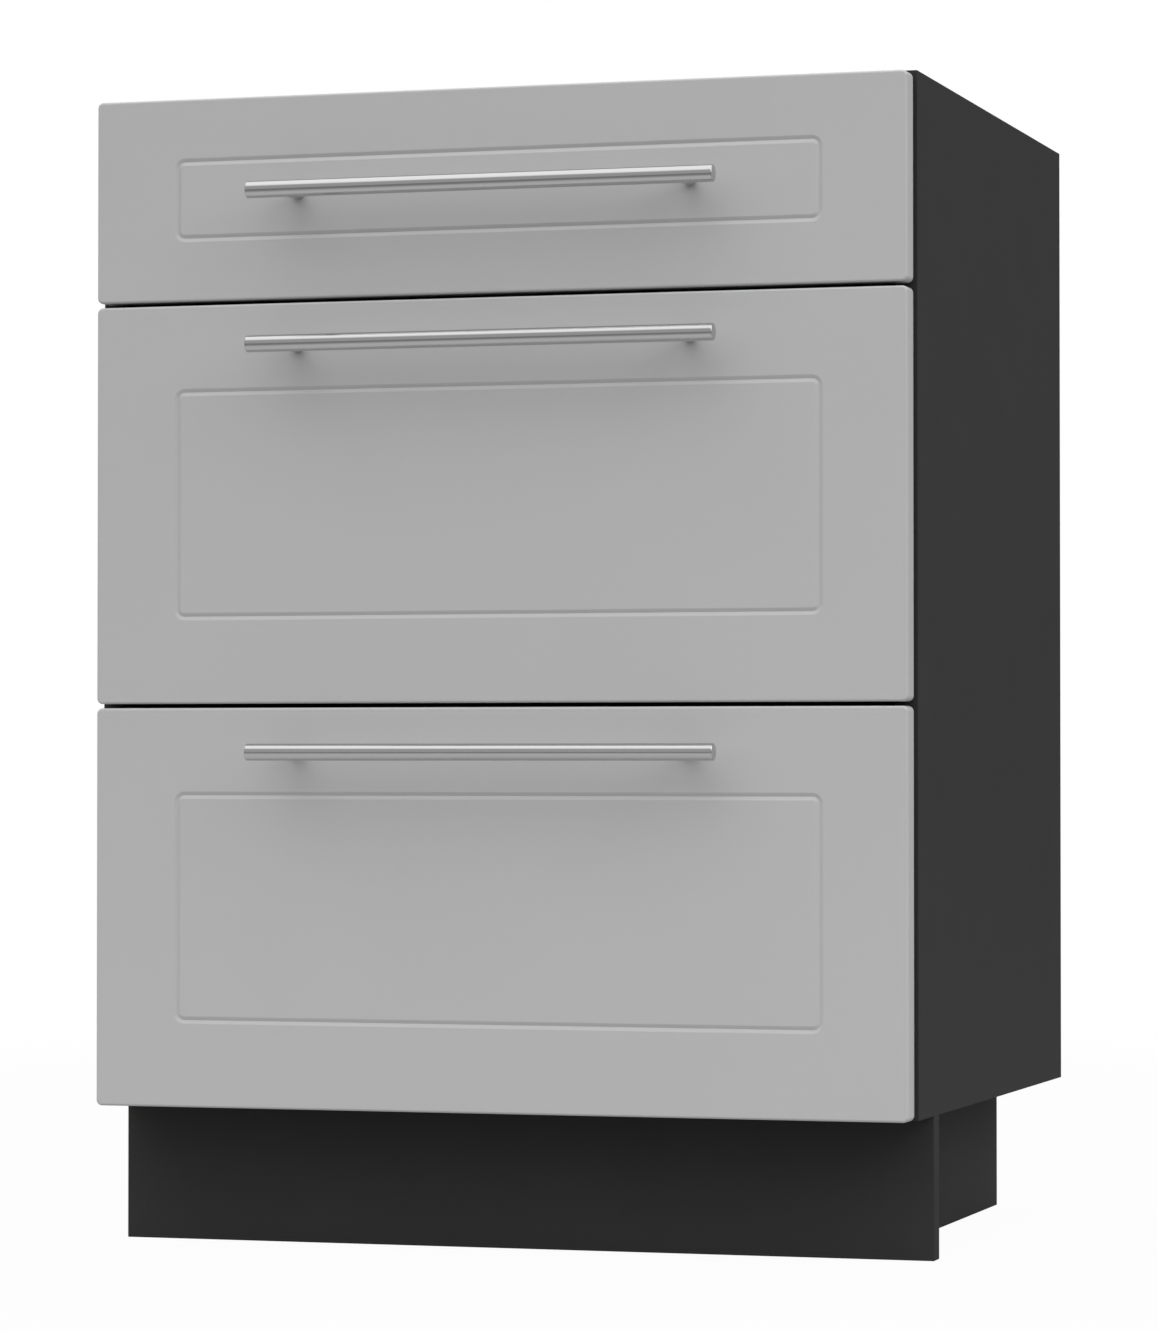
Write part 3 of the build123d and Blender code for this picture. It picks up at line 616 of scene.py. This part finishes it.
def drawer_front(drawer):
    """A lacquered front: soft outer edges and corners, and the frame line milled in it."""
    node = f"front_panel_{drawer}"
    low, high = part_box(node)
    thickness = high[1] - low[1]
    corners = rectangle((low[0], low[2]), (high[0], high[2]))
    inset = groove_shallow_inset if drawer == "top" else groove_deep_inset
    frame_corners = rectangle((low[0] + groove_side_inset, low[2] + inset),
                              (high[0] - groove_side_inset, high[2] - inset))

    def make(inset, height, tilt):
        return outline_ring(corners, front_corner_radius, inset, height - thickness, tilt)

    rings = lower_edge(make, 0, front_back_arris, 3)
    rings += upper_edge(make, thickness, front_edge_radius, 8)
    rings += groove_rings(frame_corners)
    piece(f"{drawer}_front", [(rings, (0, low[1], 0))], facing_front, lacquer,
          f"drawer_{drawer}", [node], exact_normals=True)


def handle(drawer):
    """A round bar with softened ends, and the two posts that carry it."""
    low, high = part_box(f"handle_bar_{drawer}")
    middle = (low + high) / 2
    radius = (high[2] - low[2]) / 2

    def bar_ring(inset, x, tilt):
        return round_ring(radius - inset, x, tilt, bar_sides)

    rings = rim(bar_ring, low[0], high[0], bar_end_radius, 4)
    piece(f"{drawer}_handle_bar", [(rings, (0, middle[1], middle[2]))], along_x, steel,
          f"drawer_{drawer}", [f"handle_bar_{drawer}"], exact_normals=True)

    low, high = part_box(f"handle_posts_{drawer}")
    post_radius = (high[2] - low[2]) / 2
    front_y = high[1]
    reach = front_y - (middle[1] + radius) + post_in_bar

    def post_ring(inset, y, tilt):
        return round_ring(post_radius - inset, y, tilt, post_sides)

    rings = rim(post_ring, 0, reach, post_foot_radius, 2)
    posts = [(rings, (x, front_y, middle[2]))
             for x in (low[0] + post_radius, high[0] - post_radius)]
    piece(f"{drawer}_handle_posts", posts, facing_front, steel,
          f"drawer_{drawer}", [f"handle_posts_{drawer}"], exact_normals=True)


def bumpers():
    """Small domed pads on the carcass's front edges."""
    low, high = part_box("front_bumpers")

    def pad_ring(inset, y, tilt):
        return round_ring(bumper_radius - inset, y, tilt, bumper_sides)

    rings = rim(pad_ring, 0, high[1] - low[1], bumper_rim, 4)
    places = []
    for drawer in drawers:
        front_low, front_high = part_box(f"front_panel_{drawer}")
        places += [(x, high[1], z) for x in (low[0] + bumper_radius, high[0] - bumper_radius)
                   for z in (front_low[2] + bumper_inset, front_high[2] - bumper_inset)]
    piece("bumper_pads", [(rings, place) for place in places], facing_front, bumper_soft,
          "carcass", ["front_bumpers"], exact_normals=True)


# ============================ drawer boxes ================================================
def drawer_box(drawer):
    """The four boards and the base of one drawer's box."""
    body = f"drawer_{drawer}"
    low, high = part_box(f"box_sides_{drawer}")
    inner_low, inner_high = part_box(f"box_back_{drawer}")
    pair = [((low[0], low[1], low[2]), (inner_low[0], high[1], high[2])),
            ((inner_high[0], low[1], low[2]), (high[0], high[1], high[2]))]
    parts = [(board_rings(a, b, board_arris), (0, 0, 0)) for a, b in pair]
    made = piece(f"{drawer}_box_sides", parts, along_z, pale_board, body,
                 [f"box_sides_{drawer}"])
    bared(made, down)
    made = board(f"{drawer}_box_front", pale_board, body, f"box_front_{drawer}")
    bared(made, down)
    front_low, front_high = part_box(f"box_front_{drawer}")
    bar_low, bar_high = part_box(f"handle_bar_{drawer}")
    handle_z = (bar_low[2] + bar_high[2]) / 2
    if handle_z < front_high[2]:
        start, end = -front_high[1] - bore_overrun, -front_low[1] + bore_overrun
        holes = [(x, handle_z, start, end, handle_hole_radius)
                 for x in (-post_spacing / 2, post_spacing / 2)]
        drilled(made, holes, facing_front)
    made = board(f"{drawer}_box_back", pale_board, body, f"box_back_{drawer}")
    bared(made, down)
    board(f"{drawer}_box_base", drawer_base, body, f"box_base_{drawer}", sheet_arris)


def dress(finish, *stems):
    """Gives a finish to the CAD nodes whose names begin with one of the stems."""
    for name, node in frame["nodes"].items():
        if name.startswith(stems):
            node.data.materials.clear()
            node.data.materials.append(finish)


carcass()
bumpers()
for drawer in drawers:
    drawer_front(drawer)
    handle(drawer)
    drawer_box(drawer)
dress(lacquer, "front_panel")
dress(steel, "handle_bar", "handle_posts")
dress(anthracite, "side_panel", "bottom_panel", "top_rail")
dress(plinth_dark, "plinth")
dress(back_hardboard, "back_panel")
dress(pale_board, "box_front", "box_back", "box_sides")
dress(drawer_base, "box_base")
dress(slide_zinc, "slide_")
dress(cage_zinc, "ball_cages")
dress(screw_zinc, "carcass_screws", "carcass_cam_bolts", "drawer_screws", "handle_screws")
dress(cam_zinc, "carcass_cams")
dress(bracket_zinc, "plinth_brackets")
dress(beech_wood, "carcass_dowels", "box_dowels")
dress(bumper_soft, "front_bumpers")


# ============================ camera, floor and light =====================================
photo_height = 1331
focal_pixels = 4937.0
sensor = 36.0
camera_place = (1.06474, -3.51318, 0.34709)
camera_lift = 1.0911            # degrees above the horizon
camera_turn = 16.990            # degrees to the left of straight ahead

floor_reach = 60.0
floor_drop = 0.3 * mm           # below the plinth's underside, so that the two don't flicker
shade_from, shade_to = 0.7, 2.3    # how far from the cabinet the painted pool of light on the floor falls off to its darker grey
glow_from, glow_to = 0.6, 3.2      # and where its glow grows


def camera():
    """The photograph's place and angle, from a fit to the cabinet's straight edges."""
    data = bpy.data.cameras.new("camera")
    data.sensor_width = sensor
    data.lens = sensor * focal_pixels / photo_height
    made = added("camera", data)
    made.location = camera_place
    made.rotation_euler = (math.radians(90 + camera_lift), 0, math.radians(camera_turn))
    bpy.context.scene.camera = made


def floor():
    """A pale floor that the camera sees as white with the cabinet's soft shadow on it.

    Its glow's share grows from floor_glow near the cabinet to 1 far from it. Its grey is a
    painted pool of light: pale near the cabinet, falling to the horizon's grey far off, so
    that it meets the background without an edge."""
    paint = Paint("floor_painted_pool")
    camera_ray, glossy_ray, glass_ray = paint.ray_kinds()
    away = paint.out("ShaderNodeVectorMath", {"operation": "LENGTH"}, {0: paint.place}, 1)
    # painted pool of light: the floor's colour is paler near the cabinet and darker far from it
    pale = paint.mix(away.step(shade_from, shade_to), grey(painted_pool_floor_grey), grey(painted_dim_far_floor_grey))
    material = paint.finish(Base_Color=pale, Roughness=0.9, Specular_IOR_Level=0.0)
    glow = floor_glow + (1 - floor_glow) * away.step(glow_from, glow_to)
    shown = camera_ray * glow + (glossy_ray + glass_ray) * floor_in_metal
    white = paint.out("ShaderNodeEmission", {}, {"Color": (1, 1, 1, 1), "Strength": 1.0})
    plain = Value(paint, paint.shader.outputs[0])
    surface = paint.out("ShaderNodeMixShader", {}, {0: shown.clear(), 1: plain, 2: white})
    paint.tree.links.new(surface.socket, paint.tree.nodes["Material Output"].inputs["Surface"])
    mesh = bpy.data.meshes.new("floor")
    corners = rectangle((-floor_reach, -floor_reach), (floor_reach, floor_reach))
    mesh.from_pydata([(x, y, -floor_drop) for x, y in corners], [], [(0, 1, 2, 3)])
    mesh.materials.append(material)
    added("floor", mesh)


def lamp(name, place, aim, size, power):
    """A square soft box of that size and power, turned from its place towards a point."""
    data = bpy.data.lights.new(name, "AREA")
    data.shape, data.size, data.energy = "SQUARE", size, power
    made = added(name, data)
    made.location = place
    made.rotation_euler = (Vector(aim) - Vector(place)).to_track_quat("-Z", "Y").to_euler()
    return made


def sky():
    """The studio round the cabinet. The camera sees it white. Metal and glass see a white
    ceiling over a grey horizon, as the photographed bars do. The rest of its light grows
    from the horizon up to the ceiling."""
    world = bpy.data.worlds.new("studio")
    bpy.context.scene.world = world
    world.use_nodes = True
    tree = world.node_tree
    nodes = Nodes(tree)
    direction = nodes.out("ShaderNodeTexCoord", {}, {}, "Generated")
    height = nodes.out("ShaderNodeSeparateXYZ", {}, {"Vector": direction}, "Z")
    camera_ray, glossy_ray, glass_ray = nodes.ray_kinds()
    overhead = height.step(math.sin(math.radians(ceiling_from)),
                           math.sin(math.radians(ceiling_to)))
    soft_light = horizon_light + (ceiling_light - horizon_light) * overhead
    mirrored = horizon_in_metal + (ceiling_in_metal - horizon_in_metal) * overhead
    in_metal = glossy_ray + glass_ray
    strength = soft_light * (1 - in_metal) + mirrored * in_metal
    strength = camera_ray + strength * (1 - camera_ray)
    tree.links.new(strength.socket, tree.nodes["Background"].inputs["Strength"])
    tree.nodes["Background"].inputs["Color"].default_value = (1, 1, 1, 1)


# ---- levels of light, and the floor's greys that paint a pool of light round the cabinet ---
painted_pool_floor_grey = 176
painted_dim_far_floor_grey = 100
floor_glow = 0.96
floor_in_metal = 0.1
ceiling_from = 34.0             # degrees above the horizon
ceiling_to = 56.0
horizon_light = 0.84
ceiling_light = 1.55
horizon_in_metal = 0.50
ceiling_in_metal = 1.42
lit_point = (0, 0, 0.45)        # what both lamps look at

camera()
floor()
sky()
key = lamp("key", (-2.0, -5.6, 7.2), lit_point, size=9.0, power=277)
key.visible_glossy = False
lamp("side_fill", (3.0, -1.5, 2.7), lit_point, size=2.4, power=46)
bpy.context.scene.view_settings.view_transform = "Standard"
